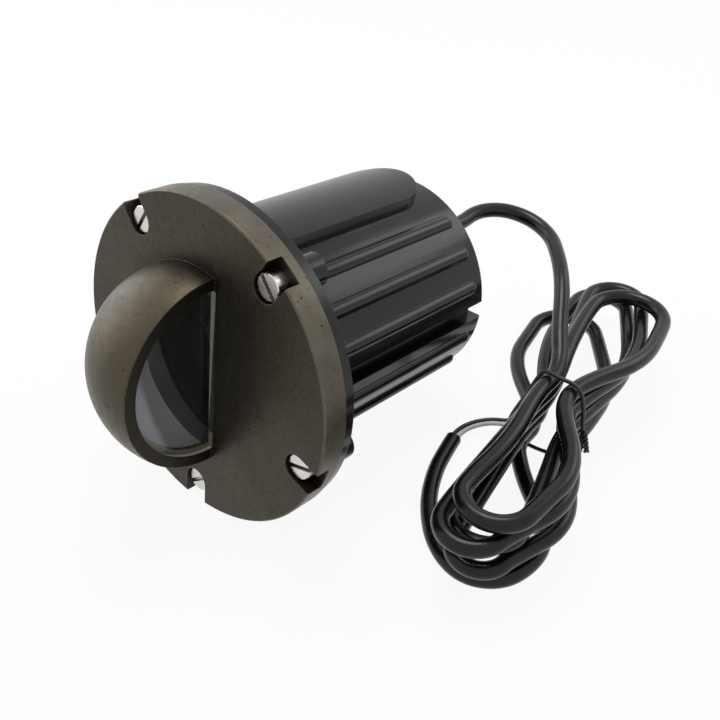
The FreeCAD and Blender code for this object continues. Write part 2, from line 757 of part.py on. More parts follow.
def hull(places):
    """Corners of the tightest loop around points in a plane."""
    ordered = sorted(places)
    corners = []
    for run in (ordered, ordered[::-1]):
        side = []
        for p in run:
            while len(side) > 1:
                (ax, az), (bx, bz) = side[-2:]
                if (bx - ax) * (p[1] - az) - (bz - az) * (p[0] - ax) > 1e-6:
                    break
                side.pop()
            side.append(p)
        corners += side[:-1]
    return corners


def cord_tie():
    corners = [V(x, WAIST[1] - TIE_W / 2, z) for x, z in hull(tie_crossings())]
    loop = Part.Face(Part.makePolygon(corners + corners[:1]))
    clear = CORD_R + TIE_PLAY
    across = V(0, TIE_W, 0)
    band = loop.makeOffset2D(clear + TIE_T).extrude(across).cut(loop.makeOffset2D(clear).extrude(across))
    right = max(corner.x for corner in corners) + clear + TIE_T / 2
    start = V(right, WAIST[1], TIE_KNOT_Z)
    knot = Part.makeCylinder(TIE_KNOT_R, TIE_KNOT_L, start, V(1, 0, -TIE_KNOT_DROP))
    return band.fuse(knot).removeSplitter()


# Lying pose and output

def lying_placement():
    tilt = math.radians(TILT)
    roll = math.radians(ROLL)
    front = V(0, -math.cos(tilt), math.sin(tilt))
    across = V(1, 0, 0)
    rise = V(0, math.sin(tilt), math.cos(tilt))
    u = across * math.cos(roll) + rise * math.sin(roll)
    v = rise * math.cos(roll) - across * math.sin(roll)
    matrix = FreeCAD.Matrix(u.x, v.x, front.x, 0, u.y, v.y, front.y, 0, u.z, v.z, front.z, 0, 0, 0, 0, 1)
    return FreeCAD.Placement(matrix)


light = {
    "cover_casting": cover_casting(),
    "window_glass": window_glass(),
    "window_sealant": window_sealant(),
    "cover_screws": cover_screws(),
    "housing_body": housing_body(),
    "cover_gasket": cover_gasket(),
    "screw_inserts": screw_inserts(),
    "carrier_plate": carrier_plate(),
    "carrier_screws": carrier_screws(),
    "socket_strap": socket_strap(),
    "strap_rivets": strap_rivets(),
    "lamp_socket": lamp_socket(),
    "socket_contacts": socket_contacts(),
    "lamp_shell": lamp_shell(),
    "lamp_lens": lamp_lens(),
    "lamp_board": lamp_board(),
    "lamp_base": lamp_base(),
    "lamp_pins": lamp_pins(),
    "socket_lead_black": socket_lead(1),
    "socket_lead_white": socket_lead(-1),
    "supply_core_black": supply_core(1),
    "supply_core_white": supply_core(-1),
    "wire_splices": wire_splices(),
    "strain_relief": strain_relief(),
    "cord_inner": cord_inner(),
    "cord_stop": cord_stop(),
}

laid = lying_placement()
for shape in light.values():
    shape.Placement = laid.multiply(shape.Placement)
extent = Part.makeCompound(list(light.values())).optimalBoundingBox(False, False)
shift = V(-extent.Center.x, -extent.Center.y, -extent.ZMin)
for shape in light.values():
    shape.translate(shift)

exit_point = laid.multVec(V(*EXIT, -RELIEF_TIP)) + shift
exit_heading = laid.multVec(V(0, 0, -1))
cover_centre = laid.multVec(V(0, 0, FACE_Z)) + shift
print("exit", exit_point, "heading", exit_heading, "cover face centre", cover_centre)

cord = {
    "cord_lead": cord_lead(exit_point, exit_heading),
    "cord_hank": cord_hank(),
    "far_core_black": far_core(-1),
    "far_core_white": far_core(1),
    "cord_tie": cord_tie(),
}

os.makedirs("parts", exist_ok=True)
for node, shape in {**light, **cord}.items():
    shape.exportStep("parts/%s.step" % node)
    box_now = shape.optimalBoundingBox(False, False)
    sizes = "%.1f x %.1f x %.1f" % (box_now.XLength, box_now.YLength, box_now.ZLength)
    print(node, len(shape.Solids), shape.isValid(), sizes, "lowest %.2f" % box_now.ZMin)
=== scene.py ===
# Looks of the in-ground well light: camera, light, cord, tie and the finish of every CAD piece.
# Lengths are in millimetres, in the frame of the CAD model, and become metres where they are used.

import math

import bpy
from mathutils import Matrix, Vector


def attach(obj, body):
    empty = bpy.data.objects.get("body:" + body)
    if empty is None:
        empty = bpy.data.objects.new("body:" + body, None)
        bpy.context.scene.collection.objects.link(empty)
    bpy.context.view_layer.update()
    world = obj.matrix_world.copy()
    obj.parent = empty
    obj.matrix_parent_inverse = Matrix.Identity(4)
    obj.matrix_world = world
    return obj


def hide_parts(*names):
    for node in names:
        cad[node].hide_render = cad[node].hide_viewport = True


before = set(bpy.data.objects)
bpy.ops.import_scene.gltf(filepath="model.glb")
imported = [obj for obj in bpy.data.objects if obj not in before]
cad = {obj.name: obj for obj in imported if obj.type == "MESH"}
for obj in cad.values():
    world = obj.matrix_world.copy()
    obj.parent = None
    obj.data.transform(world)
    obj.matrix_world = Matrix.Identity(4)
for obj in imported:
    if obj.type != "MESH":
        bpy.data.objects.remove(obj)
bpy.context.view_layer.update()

MM = 0.001

# The cover's own frame: the middle of its face, and its tilt and roll in degrees
COVER_AT = (0.0, -51.7587, 65.8303)
COVER_TILT = 8.067
COVER_ROLL = -0.7

# Where finishes change, in that frame: X the way the hood looks, Y up, Z out of the face
SILL_X = 8.7
LIGHT_SPACE_R = 36.0
LACQUER_DEPTH = 7.8
RIM_R = 64.4
FOOT_Y = -27.0
SILL_STRIP_EDGE = 7.96
SILL_FADE = 0.2
SILL_TAPER = 0.042
ARCH_X = 8.5
ARCH_LOW = 0.4
HOOD_FOOT = 2.0
# Height on the hood where its wear and painted sheen are full
HOOD_WEAR_AND_SHEEN_TOP = 14.0
# Heights in the dome between which its painted light fades
LIT_FOOT_LOW = -32.0
LIT_FOOT_HIGH = -6.0
EMITTER_R = 3.2

# Shaders and tubes
BEVEL_SAMPLES = 6
SHADE_SAMPLES = 8
SPECK_CUT = (0.60, 0.64)
LENS_CELL = 2.4
TARNISH = 0.88
BRIGHTEN = 1.2
TUBE_ROUND = 6
TUBE_STEPS = 10

# Finishes of the pieces that are plain metal or plastic
METALS = (
    # name, colour, roughness, scale of the grain, wear of edges, pieces
    ("brass", (0.62, 0.47, 0.21), 0.3, (1.0, 1.0, 5.0), 0.7, ("screw_inserts", "socket_contacts")),
    ("aluminium", (0.62, 0.62, 0.63), 0.38, (8.0, 1.0, 1.0), 0.6, ("carrier_plate", "strap_rivets")),
    ("zinc_steel", (0.52, 0.53, 0.55), 0.33, (1.0, 5.0, 1.0), 0.7, ("socket_strap", "lamp_pins")),
)
PLASTICS = (
    # name, colour, roughness, size and depth of the texture, colour of edges, pieces
    ("gasket_rubber", (0.016, 0.016, 0.016), 0.75, 0.6, 0.06, (0.03, 0.03, 0.03), ("cover_gasket",)),
    ("relief_rubber", (0.009, 0.009, 0.010), 0.5, 0.6, 0.05, (0.03, 0.03, 0.031), ("strain_relief",)),
    ("ceramic", (0.74, 0.72, 0.67), 0.55, 0.8, 0.06, (0.82, 0.81, 0.77), ("lamp_socket", "lamp_base")),
    ("shell_white", (0.72, 0.72, 0.70), 0.5, 0.7, 0.04, (0.80, 0.80, 0.78), ("lamp_shell",)),
    ("heat_shrink", (0.014, 0.014, 0.016), 0.42, 1.2, 0.05, (0.04, 0.04, 0.042), ("wire_splices",)),
)

# Camera of the photograph
CAMERA_AT = (224.0, -212.2, 275.3)
CAMERA_LOOK = (-0.52652, 0.59046, -0.61167)
CAMERA_LENS = 45.94
CAMERA_SENSOR = 36.0
CAMERA_CLIP = 10.0

# Studio
FLOOR_HALF = 4000.0
FLOOR_WHITE = 0.92
FLOOR_OWN_LIGHT = 0.92
FLOOR_ROUGHNESS = 0.9
SKY_STRENGTH = 0.45
SOFTBOXES = (
    # name, place, aim, width, height, watts
    ("top_box", (-150.0, 200.0, 1000.0), (40.0, 40.0, 40.0), 450.0, 450.0, 4.5),
    ("left_box", (-900.0, -200.0, 350.0), (0.0, -60.0, 70.0), 900.0, 1000.0, 4.5),
    ("rib_box", (363.0, 909.0, 632.0), (0.0, 40.0, 60.0), 600.0, 400.0, 1.6),
)

# Cord: its lead follows the CAD model's route
CORD_D = 7.0
CORD_EXIT = (5.2134, 91.0851, 63.1955)
CORD_HEADING = (0.0, 0.990104, -0.140337)
LEAD_STRAIGHT = 13.0
LEAD_ROUTE = (
    (4.6, 118.0, 62.2), (11.5, 130.3, 60.8), (24.2, 135.8, 58.0), (38.5, 131.8, 55.6),
    (49.8, 119.6, 55.4), (59.2, 108.0, 54.6), (66.8, 97.3, 50.6), (73.6, 85.8, 44.6),
)

# Hank: each loop as reach from the tie, lean in degrees, radius of its fold, and how far its
# first and its second side swing to the right. Lower loops, the first upper loop and the tail's
# start are moved from the CAD model's places to follow the photograph.
WAIST = (92.0, 58.5)
WAIST_HALF = 11.0
WAIST_LEAN = 1.4
WAIST_RUN = 9.0
LAYER = 7.75
REST = 3.75
LOWEST = 5.85
LOWER_LOOPS = (
    (82.0, 14.0, 13.2, 4.0, 13.0), (90.0, 10.0, 12.0, 0.0, 19.0),
    (80.0, 10.0, 14.0, 0.0, 1.0), (85.0, 11.8, 10.5, 0.0, 17.0),
)
UPPER_LOOPS = (
    (91.5, -7.0, 16.5, 9.0, -2.0), (107.5, -14.5, 12.8, 12.0, 0.0),
    (111.0, -18.5, 12.8, 12.0, -9.0), (100.5, -27.5, 15.5, 10.0, -14.0),
)
FOLD_TURNS = (-90.0, -60.0, -30.0, 0.0, 30.0, 60.0, 90.0)
TAIL = (
    (88.0, 41.5), (97.5, 32.5), (108.0, 24.5), (118.0, 14.5), (122.0, 1.5),
    (118.5, -14.5), (105.5, -22.8), (89.0, -18.0), (73.5, -3.0), (64.0, 14.0),
    (59.5, 28.5), (57.75, 35.28),
)

# Stripped cores at the cord's far end, and the wire tie
CORE_D = 2.0
CORE_SIDE = 1.25
CORE_ROUTE = (
    (57.75, 35.28, 3.75), (56.6, 41.1, 3.75), (59.2, 48.0, 4.7), (64.5, 53.6, 5.8),
    (71.0, 56.0, 7.0), (75.0, 59.5, 8.0), (74.8, 64.5, 9.0),
)
TIE_D = 1.7
TIE_RING = (
    (84.0, 42.2), (92.0, 41.5), (100.0, 42.2), (103.6, 36.0), (105.8, 22.0), (107.2, 12.0),
    (104.6, 7.2), (93.0, 2.4), (80.5, 1.0), (72.4, 3.0), (71.4, 9.5), (77.0, 24.0), (81.3, 36.5),
)
TIE_LEAN = 0.06
TIE_END_D = 1.3
TIE_END_START = (106.6, 57.2, 22.5)
TIE_END_STOP = (109.4, 56.8, 13.0)
TIE_END_TURNS = 2.5
TIE_END_STEPS = 30


def metres(point):
    return Vector(point) * MM


# Camera and cords

def add_camera():
    data = bpy.data.cameras.new("photo_camera")
    data.lens = CAMERA_LENS
    data.sensor_fit = "HORIZONTAL"
    data.sensor_width = CAMERA_SENSOR
    data.clip_start = CAMERA_CLIP * MM
    camera = bpy.data.objects.new("photo_camera", data)
    camera.location = metres(CAMERA_AT)
    camera.rotation_euler = Vector(CAMERA_LOOK).to_track_quat("-Z", "Y").to_euler()
    bpy.context.scene.collection.objects.link(camera)
    bpy.context.scene.camera = camera


def nurbs_tube(name, points, diameter, cyclic=False):
    """Round tube of a given diameter on one NURBS spline through its control points."""
    curve = bpy.data.curves.new(name, "CURVE")
    curve.dimensions = "3D"
    curve.bevel_depth = diameter / 2 * MM
    curve.bevel_resolution = TUBE_ROUND
    curve.resolution_u = TUBE_STEPS
    curve.use_fill_caps = True
    spline = curve.splines.new("NURBS")
    spline.points.add(len(points) - 1)
    for knot, point in zip(spline.points, points):
        knot.co = (*metres(point), 1.0)
    spline.use_cyclic_u = cyclic
    spline.order_u = 3
    spline.use_endpoint_u = not cyclic
    spline.use_smooth = True
    piece = bpy.data.objects.new(name, curve)
    bpy.context.scene.collection.objects.link(piece)
    return piece


def fold_points(loop, sign, height):
    """Control points round one fold of the hank, against the clock from above."""
    reach, lean, radius = loop[:3]
    angle = math.radians(lean)
    out = Vector((math.sin(angle), sign * math.cos(angle), 0))
    across = Vector((-sign * math.cos(angle), math.sin(angle), 0))
    centre = Vector((*WAIST, height)) + out * (reach - radius)
    half_step = math.radians(FOLD_TURNS[1] - FOLD_TURNS[0]) / 2
    far = radius / math.cos(half_step)
    points = []
    for turn in FOLD_TURNS:
        around = math.radians(turn)
        points.append(centre + (out * math.cos(around) + across * math.sin(around)) * far)
    return points


def waist_points(sign, layer):
    """Two control points where a strand passes the tie, on its left (-1) or right (1) side."""
    x = WAIST[0] + sign * (WAIST_HALF - WAIST_LEAN * layer)
    z = LOWEST + LAYER * layer
    return [Vector((x, WAIST[1] - sign * WAIST_RUN, z)), Vector((x, WAIST[1] + sign * WAIST_RUN, z))]


def swing(before, after, aside):
    """Control point halfway along a side of a loop, moved aside as the side swings out."""
    return (before + after) / 2 + Vector((aside, 0, 0))


def cord_points():
    start = Vector(CORD_EXIT)
    points = [start, start + Vector(CORD_HEADING) * LEAD_STRAIGHT]
    points += [Vector(p) for p in LEAD_ROUTE]
    for i, (lower, upper) in enumerate(zip(LOWER_LOOPS, UPPER_LOOPS)):
        layer = len(LOWER_LOOPS) - i
        left = waist_points(-1, layer)
        below = fold_points(lower, -1, LOWEST + LAYER * layer)
        right = waist_points(1, layer)
        above = fold_points(upper, 1, LOWEST + LAYER * (layer - 1) if layer > 1 else REST)
        next_left = waist_points(-1, layer - 1)
        points += left + [swing(left[1], below[0], lower[3])]
        points += below + [swing(below[-1], right[0], lower[4])]
        points += right + [swing(right[1], above[0], upper[3])]
        points += above + [swing(above[-1], next_left[0], upper[4])]
    points += waist_points(-1, 0)
    points += [Vector((x, y, REST)) for x, y in TAIL]
    return points


def add_cord(finish):
    cord = nurbs_tube("supply_cord", cord_points(), CORD_D)
    cord.data.materials.append(finish)
    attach(cord, "housing")
    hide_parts("cord_lead", "cord_hank")


def core_points(sign):
    """Control points of one core, beside the middle line of the two."""
    middle = [Vector(p) for p in CORE_ROUTE]
    points = []
    for i, point in enumerate(middle):
        along = middle[min(i + 1, len(middle) - 1)] - middle[max(i - 1, 0)]
        side = Vector((along.y, -along.x, 0)).normalized()
        points.append(point + side * (sign * CORE_SIDE))
    return points


def add_core(name, sign, node, finish):
    points = core_points(sign)
    core = nurbs_tube(name, points, CORE_D)
    core.data.materials.append(finish)
    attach(core, "housing")
    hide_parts(node)


# Shader building blocks

class Finish:
    """A material with a Principled shader, and short ways to add procedural detail to it."""

    def __init__(self, name, base, roughness, metallic=0.0, **sockets):
        self.material = bpy.data.materials.new(name)
        self.material.use_nodes = True
        self.tree = self.material.node_tree
        self.shader = self.tree.nodes["Principled BSDF"]
        self.shader.inputs["Base Color"].default_value = (*base, 1.0)
        self.shader.inputs["Roughness"].default_value = roughness
        self.shader.inputs["Metallic"].default_value = metallic
        for socket, value in sockets.items():
            self.shader.inputs[socket.replace("_", " ")].default_value = value
        self.place = self.node("ShaderNodeTexCoord").outputs["Object"]

    def node(self, kind, **settings):
        node = self.tree.nodes.new(kind)
        for setting, value in settings.items():
            setattr(node, setting, value)
        return node

    def link(self, source, target):
        self.tree.links.new(source, target)

    def noise(self, size, detail=3.0, place=None):
        """Noise whose features are about size millimetres across."""
        node = self.node("ShaderNodeTexNoise")
        node.inputs["Scale"].default_value = 1 / (size * MM)
        node.inputs["Detail"].default_value = detail
        self.link(place or self.place, node.inputs["Vector"])
        return node.outputs["Fac"]

    def specks(self, spacing, radius):
        """Mask of round specks of a given radius, in about two in five cells of a given width."""
        cells = self.node("ShaderNodeTexVoronoi")
        cells.inputs["Scale"].default_value = 1 / (spacing * MM)
        self.link(self.place, cells.inputs["Vector"])
        near = self.spread(cells.outputs["Distance"], radius / spacing * 0.5, radius / spacing, 1.0, 0.0)
        chosen = self.spread(self.split(cells.outputs["Color"]), *SPECK_CUT, 0.0, 1.0)
        return self.math("MULTIPLY", near, chosen)

    def cover_place(self):
        """Place in the cover's own frame, in metres: across, up and out of its face."""
        node = self.node("ShaderNodeMapping", vector_type="TEXTURE")
        node.inputs["Location"].default_value = metres(COVER_AT)
        node.inputs["Rotation"].default_value = cover_turn()
        self.link(self.place, node.inputs["Vector"])
        return node.outputs["Vector"]

    def cover_axes(self):
        node = self.node("ShaderNodeSeparateXYZ")
        self.link(self.cover_place(), node.inputs["Vector"])
        return node.outputs

    def axis_distance(self):
        """Distance from the light's axis, in metres."""
        flat = self.node("ShaderNodeCombineXYZ")
        axes = self.cover_axes()
        self.link(axes["X"], flat.inputs["X"])
        self.link(axes["Y"], flat.inputs["Y"])
        return self.length(flat.outputs["Vector"])

    def length(self, vector):
        node = self.node("ShaderNodeVectorMath", operation="LENGTH")
        self.link(vector, node.inputs[0])
        return node.outputs["Value"]

    def shade(self, reach, alone=False):
        """Openness of the surface, from 0 deep in a pocket to 1; alone, other pieces don't count."""
        node = self.node("ShaderNodeAmbientOcclusion", samples=SHADE_SAMPLES, only_local=alone)
        node.inputs["Distance"].default_value = reach * MM
        return node.outputs["AO"]

    def split(self, color):
        node = self.node("ShaderNodeSeparateColor")
        self.link(color, node.inputs["Color"])
        return node.outputs["Red"]

    def stretched(self, scale, place=None):
        """Place with its axes scaled, for grain that runs one way."""
        node = self.node("ShaderNodeMapping")
        node.inputs["Scale"].default_value = scale
        self.link(place or self.place, node.inputs["Vector"])
        return node.outputs["Vector"]

    def spread(self, value, low, high, out_low, out_high):
        """Value taken from one range to another, and kept inside it."""
        node = self.node("ShaderNodeMapRange")
        self.link(value, node.inputs["Value"])
        sockets = ("From Min", "From Max", "To Min", "To Max")
        for socket, number in zip(sockets, (low, high, out_low, out_high)):
            node.inputs[socket].default_value = number
        return node.outputs["Result"]

    def math(self, operation, a, b):
        node = self.node("ShaderNodeMath", operation=operation)
        for socket, value in zip(node.inputs, (a, b)):
            if isinstance(value, float):
                socket.default_value = value
            else:
                self.link(value, socket)
        return node.outputs["Value"]

    def tone(self, factor, dark, light):
        """Colour between two, either of which may be another node's colour."""
        node = self.node("ShaderNodeMix", data_type="RGBA")
        self.link(factor, node.inputs["Factor"])
        for socket, color in ((node.inputs[6], dark), (node.inputs[7], light)):
            if isinstance(color, tuple):
                socket.default_value = (*color, 1.0)
            else:
                self.link(color, socket)
        return node.outputs[2]

    def edges(self, radius, low, high):
        """Mask of the edges: where a bevel of the given radius would turn the surface."""
        bevel = self.node("ShaderNodeBevel", samples=BEVEL_SAMPLES)
        bevel.inputs["Radius"].default_value = radius * MM
        geometry = self.node("ShaderNodeNewGeometry")
        dot = self.node("ShaderNodeVectorMath", operation="DOT_PRODUCT")
        self.link(bevel.outputs["Normal"], dot.inputs[0])
        self.link(geometry.outputs["Normal"], dot.inputs[1])
        return self.spread(dot.outputs["Value"], high, low, 0.0, 1.0)

    def bump(self, height, depth, soft_edge=0.0, flat=False):
        """Relief of a given depth in millimetres, on the mesh's own faces or on softened edges."""
        node = self.node("ShaderNodeBump")
        node.inputs["Distance"].default_value = depth * MM
        self.link(height, node.inputs["Height"])
        if flat:
            self.link(self.node("ShaderNodeNewGeometry").outputs["True Normal"], node.inputs["Normal"])
        elif soft_edge:
            bevel = self.node("ShaderNodeBevel", samples=BEVEL_SAMPLES)
            bevel.inputs["Radius"].default_value = soft_edge * MM
            self.link(bevel.outputs["Normal"], node.inputs["Normal"])
        self.link(node.outputs["Normal"], self.shader.inputs["Normal"])

    def color(self, value):
        self.link(value, self.shader.inputs["Base Color"])

    def roughness(self, value):
        self.link(value, self.shader.inputs["Roughness"])


# Finishes

def cover_turn():
    """Turn from the cover's own frame (across, up, out) to the model's."""
    tilt = math.radians(COVER_TILT)
    roll = math.radians(COVER_ROLL)
    out = Vector((0, -math.cos(tilt), math.sin(tilt)))
    rise = Vector((0, math.sin(tilt), math.cos(tilt)))
    across = Vector((1, 0, 0)) * math.cos(roll) + rise * math.sin(roll)
    return Matrix((across, out.cross(across), out)).transposed().to_euler()


def light_space_mask(f):
    """Masks of the cover's inside, from the window to the lacquer's edge, and of all above its face."""
    axes = f.cover_axes()
    behind = f.math("LESS_THAN", axes["X"], SILL_X * MM)
    near = f.math("LESS_THAN", f.length(f.cover_place()), LIGHT_SPACE_R * MM)
    above = f.math("GREATER_THAN", axes["Z"], -LACQUER_DEPTH * MM)
    in_hood = f.math("GREATER_THAN", axes["Z"], 0.0)
    return f.math("MULTIPLY", f.math("MULTIPLY", behind, near), above), in_hood


def patina(f, axes):
    """Colour of the browned casting: mottled, rubbed on the rim, worn with a painted sheen higher on the
    hood, and painted shade on the arch.
    """
    cloudy = f.spread(f.noise(28.0), 0.35, 0.65, 0.0, 1.0)
    browned = f.tone(cloudy, (0.039, 0.033, 0.024), (0.05, 0.043, 0.031))
    mottled = f.tone(f.spread(f.noise(1.3, 5.0), 0.38, 0.66, 0.0, 0.48), browned, (0.077, 0.065, 0.046))
    on_rim = f.math("GREATER_THAN", f.axis_distance(), RIM_R * MM)
    brushed = f.math("MULTIPLY", on_rim, f.spread(f.noise(9.0), 0.3, 0.7, 0.5, 1.0))
    rubbed = f.tone(brushed, mottled, (0.118, 0.104, 0.081))
    # Wear and painted sheen: the hood turns warmer and lighter in patches the higher it rises above the
    # face.
    on_hood = f.spread(axes["Z"], HOOD_FOOT * MM, HOOD_WEAR_AND_SHEEN_TOP * MM, 0.0, 1.0)
    hood_wear_and_sheen = f.math("MULTIPLY", on_hood, f.spread(f.noise(7.0, 8.0), 0.3, 0.7, 0.3, 0.55))
    worn_and_sheened = f.tone(hood_wear_and_sheen, rubbed, (0.092, 0.076, 0.05))
    # Painted shade: the arch around the window is coloured darker than the rest of the casting.
    above_face = f.math("GREATER_THAN", axes["Z"], ARCH_LOW * MM)
    arch_shade = f.math("MULTIPLY", f.math("GREATER_THAN", axes["X"], ARCH_X * MM), above_face)
    return f.tone(arch_shade, worn_and_sheened, (0.029, 0.025, 0.019))


def lacquer(f, axes, in_hood):
    """Colour of the pale lacquer inside, with painted light on it: dull in the bore, lighter in the dome
    and palest at its foot.
    """
    # Painted light: the dome is coloured lighter towards its foot, where the light through the window
    # falls.
    painted_light_foot = f.spread(axes["Y"], LIT_FOOT_LOW * MM, LIT_FOOT_HIGH * MM, 1.0, 0.0)
    dome = f.tone(painted_light_foot, (0.46, 0.45, 0.42), (0.86, 0.82, 0.77))
    return f.tone(in_hood, (0.195, 0.195, 0.19), dome)


def bronze():
    """Cast bronze: patina, small casting pits, brass on worn edges, painted shade in pockets, pale
    inside with painted light.
    """
    f = Finish("antique_bronze", (0.047, 0.040, 0.030), 0.42, 0.9)
    axes = f.cover_axes()
    pits = f.math("MAXIMUM", f.specks(3.6, 0.5), f.specks(1.9, 0.3))
    pitted = f.tone(pits, patina(f, axes), (0.006, 0.0055, 0.005))
    worn = f.math("MULTIPLY", f.edges(0.5, 0.75, 0.995), f.spread(f.noise(5.0), 0.3, 0.6, 0.15, 0.75))
    edged = f.tone(worn, pitted, (0.26, 0.21, 0.13))
    # Painted shade: the colour turns near black where the surface is closed in, in pockets and at the
    # hood's foot.
    darkened = f.tone(f.spread(f.shade(10.0), 0.3, 0.9, 0.9, 0.0), edged, (0.004, 0.0038, 0.0035))
    inside, in_hood = light_space_mask(f)
    f.color(f.tone(inside, darkened, lacquer(f, axes, in_hood)))
    f.link(f.spread(inside, 0.0, 1.0, 0.9, 0.0), f.shader.inputs["Metallic"])
    f.roughness(f.spread(f.noise(3.0, 4.0), 0.3, 0.7, 0.36, 0.47))
    grain = f.noise(0.35, 2.0)
    f.bump(f.math("SUBTRACT", f.math("MULTIPLY", grain, 0.25), pits), 0.12, 0.35)
    return f


def glass():
    """Clear glass with faint smears and dust."""
    f = Finish(
        "window_pane", (0.895, 0.93, 0.96), 0.02, 0.0, Transmission_Weight=1.0, IOR=1.5,
        Specular_Tint=(0.8, 0.83, 0.9, 1.0),
    )
    f.roughness(f.spread(f.noise(14.0, 5.0), 0.5, 0.75, 0.004, 0.05))
    f.bump(f.noise(22.0, 1.0), 0.004)
    return f


def clear_lens():
    """Moulded lamp lens, lightly frosted in small cells."""
    f = Finish("prismatic_lens", (0.93, 0.94, 0.95), 0.12, 0.0, Transmission_Weight=0.9, IOR=1.49)
    cells = f.node("ShaderNodeTexVoronoi")
    cells.inputs["Scale"].default_value = 1 / (LENS_CELL * MM)
    f.link(f.place, cells.inputs["Vector"])
    f.roughness(f.spread(f.noise(6.0), 0.3, 0.7, 0.08, 0.2))
    f.bump(cells.outputs["Distance"], 0.5)
    return f


def metal(name, base, rough, grain, wear, flat=False):
    """Plain metal with fine tool marks, cloudy tarnish, brighter edges and painted shade in its slots.
    """
    f = Finish(name, base, rough, 1.0)
    dull = tuple(c * TARNISH for c in base)
    bright = tuple(min(1.0, c * BRIGHTEN) for c in base)
    cloudy = f.tone(f.spread(f.noise(4.0, 4.0), 0.35, 0.7, 0.0, 1.0), base, dull)
    edged = f.tone(f.math("MULTIPLY", f.edges(0.2, 0.75, 0.995), wear), cloudy, bright)
    # Painted shade: near-black brown where the piece closes in on itself, as in its screw slots.
    slot_shade = f.spread(f.shade(1.8, alone=True), 0.35, 0.8, 1.0, 0.0)
    f.color(f.tone(slot_shade, edged, (0.035, 0.029, 0.021)))
    f.roughness(f.spread(f.noise(1.5, 4.0), 0.3, 0.7, rough * 0.9, rough * 1.15))
    f.bump(f.noise(0.6, 2.0, f.stretched(grain)), 0.0008, flat=flat)
    return f


def sealant():
    """Cured sealant: a grey-green strip that narrows downwards, dark beside it, olive at its foot."""
    f = Finish("sealant_grey", (0.30, 0.32, 0.26), 0.55)
    axes = f.cover_axes()
    foot = f.math("LESS_THAN", axes["Y"], FOOT_Y * MM)
    aside = f.math("SUBTRACT", axes["X"], f.math("MULTIPLY", axes["Y"], SILL_TAPER))
    # The colour turns dark beside the pale strip, which narrows downwards.
    darkened = f.spread(aside, SILL_STRIP_EDGE * MM, (SILL_STRIP_EDGE + SILL_FADE) * MM, 0.0, 1.0)
    cloudy = f.spread(f.noise(5.0, 4.0), 0.35, 0.7, 0.0, 1.0)
    strip_tone = f.tone(cloudy, (0.30, 0.33, 0.28), (0.24, 0.27, 0.22))
    f.color(f.tone(foot, f.tone(darkened, strip_tone, (0.03, 0.026, 0.021)), (0.16, 0.155, 0.095)))
    f.roughness(f.spread(f.noise(3.0), 0.3, 0.7, 0.48, 0.65))
    f.bump(f.noise(2.0, 3.0), 0.06)
    return f


def plastic(name, base, rough, texture, depth, edge_tone, soft=0.3, gloss=0.5):
    """Moulded or extruded plastic: fine surface texture, handling marks, paler edges."""
    f = Finish(name, base, rough, 0.0, Specular_IOR_Level=gloss)
    dusty = tuple(c * 1.2 + 0.002 for c in base)
    hazed = f.tone(f.spread(f.noise(18.0, 4.0), 0.4, 0.75, 0.0, 0.7), base, dusty)
    f.color(f.tone(f.math("MULTIPLY", f.edges(soft, 0.7, 0.99), 0.5), hazed, edge_tone))
    f.roughness(f.spread(f.noise(7.0, 5.0), 0.3, 0.75, rough * 0.82, rough * 1.3))
    f.bump(f.noise(texture, 3.0), depth, soft)
    return f


def housing_black():
    """Glossy black housing: fine streaks along its length, a little haze, edges painted paler as
    highlights.
    """
    f = Finish("housing_black", (0.005, 0.0048, 0.0053), 0.2, 0.0, Specular_IOR_Level=0.3)
    streaks = f.noise(1.4, 4.0, f.stretched((1.0, 1.0, 0.03), f.cover_place()))
    drawn = f.spread(streaks, 0.35, 0.7, 0.0, 1.0)
    streaked = f.tone(drawn, (0.0042, 0.004, 0.0046), (0.0085, 0.0081, 0.009))
    hazed = f.tone(f.spread(f.noise(18.0, 4.0), 0.4, 0.75, 0.0, 0.5), streaked, (0.008, 0.0078, 0.0084))
    # Painted highlight: the edges are coloured paler to stand for the glints along them.
    f.color(f.tone(f.math("MULTIPLY", f.edges(0.4, 0.7, 0.99), 0.5), hazed, (0.04, 0.039, 0.041)))
    f.roughness(f.spread(streaks, 0.3, 0.7, 0.13, 0.23))
    f.bump(streaks, 0.012, 0.4)
    return f


def cord_jacket():
    """Smooth black PVC with faint drag marks, scuffs and dust."""
    f = Finish("cord_pvc", (0.005, 0.005, 0.006), 0.3, 0.0, Specular_IOR_Level=0.28)
    scuffs = f.spread(f.noise(9.0, 6.0), 0.52, 0.72, 0.0, 0.8)
    f.color(f.tone(scuffs, (0.0045, 0.0045, 0.005), (0.012, 0.012, 0.013)))
    f.roughness(f.spread(f.noise(4.0, 4.0), 0.3, 0.75, 0.2, 0.32))
    f.bump(f.noise(5.0, 2.0), 0.03)
    return f


def circuit_board():
    """White solder mask with copper-coloured pads and a yellow emitter in the middle."""
    f = Finish("board_white", (0.78, 0.78, 0.74), 0.4)
    dots = f.specks(3.2, 0.7)
    padded = f.tone(dots, (0.78, 0.78, 0.74), (0.62, 0.42, 0.16))
    emitter = f.math("LESS_THAN", f.axis_distance(), EMITTER_R * MM)
    f.color(f.tone(emitter, padded, (0.85, 0.62, 0.08)))
    f.roughness(f.spread(f.noise(3.0), 0.3, 0.7, 0.32, 0.48))
    f.bump(f.math("ADD", dots, f.noise(0.6)), 0.05, 0.1)
    return f


def dress(finish, *names):
    for name in names:
        slots = cad[name].data.materials
        slots.clear()
        slots.append(finish.material)


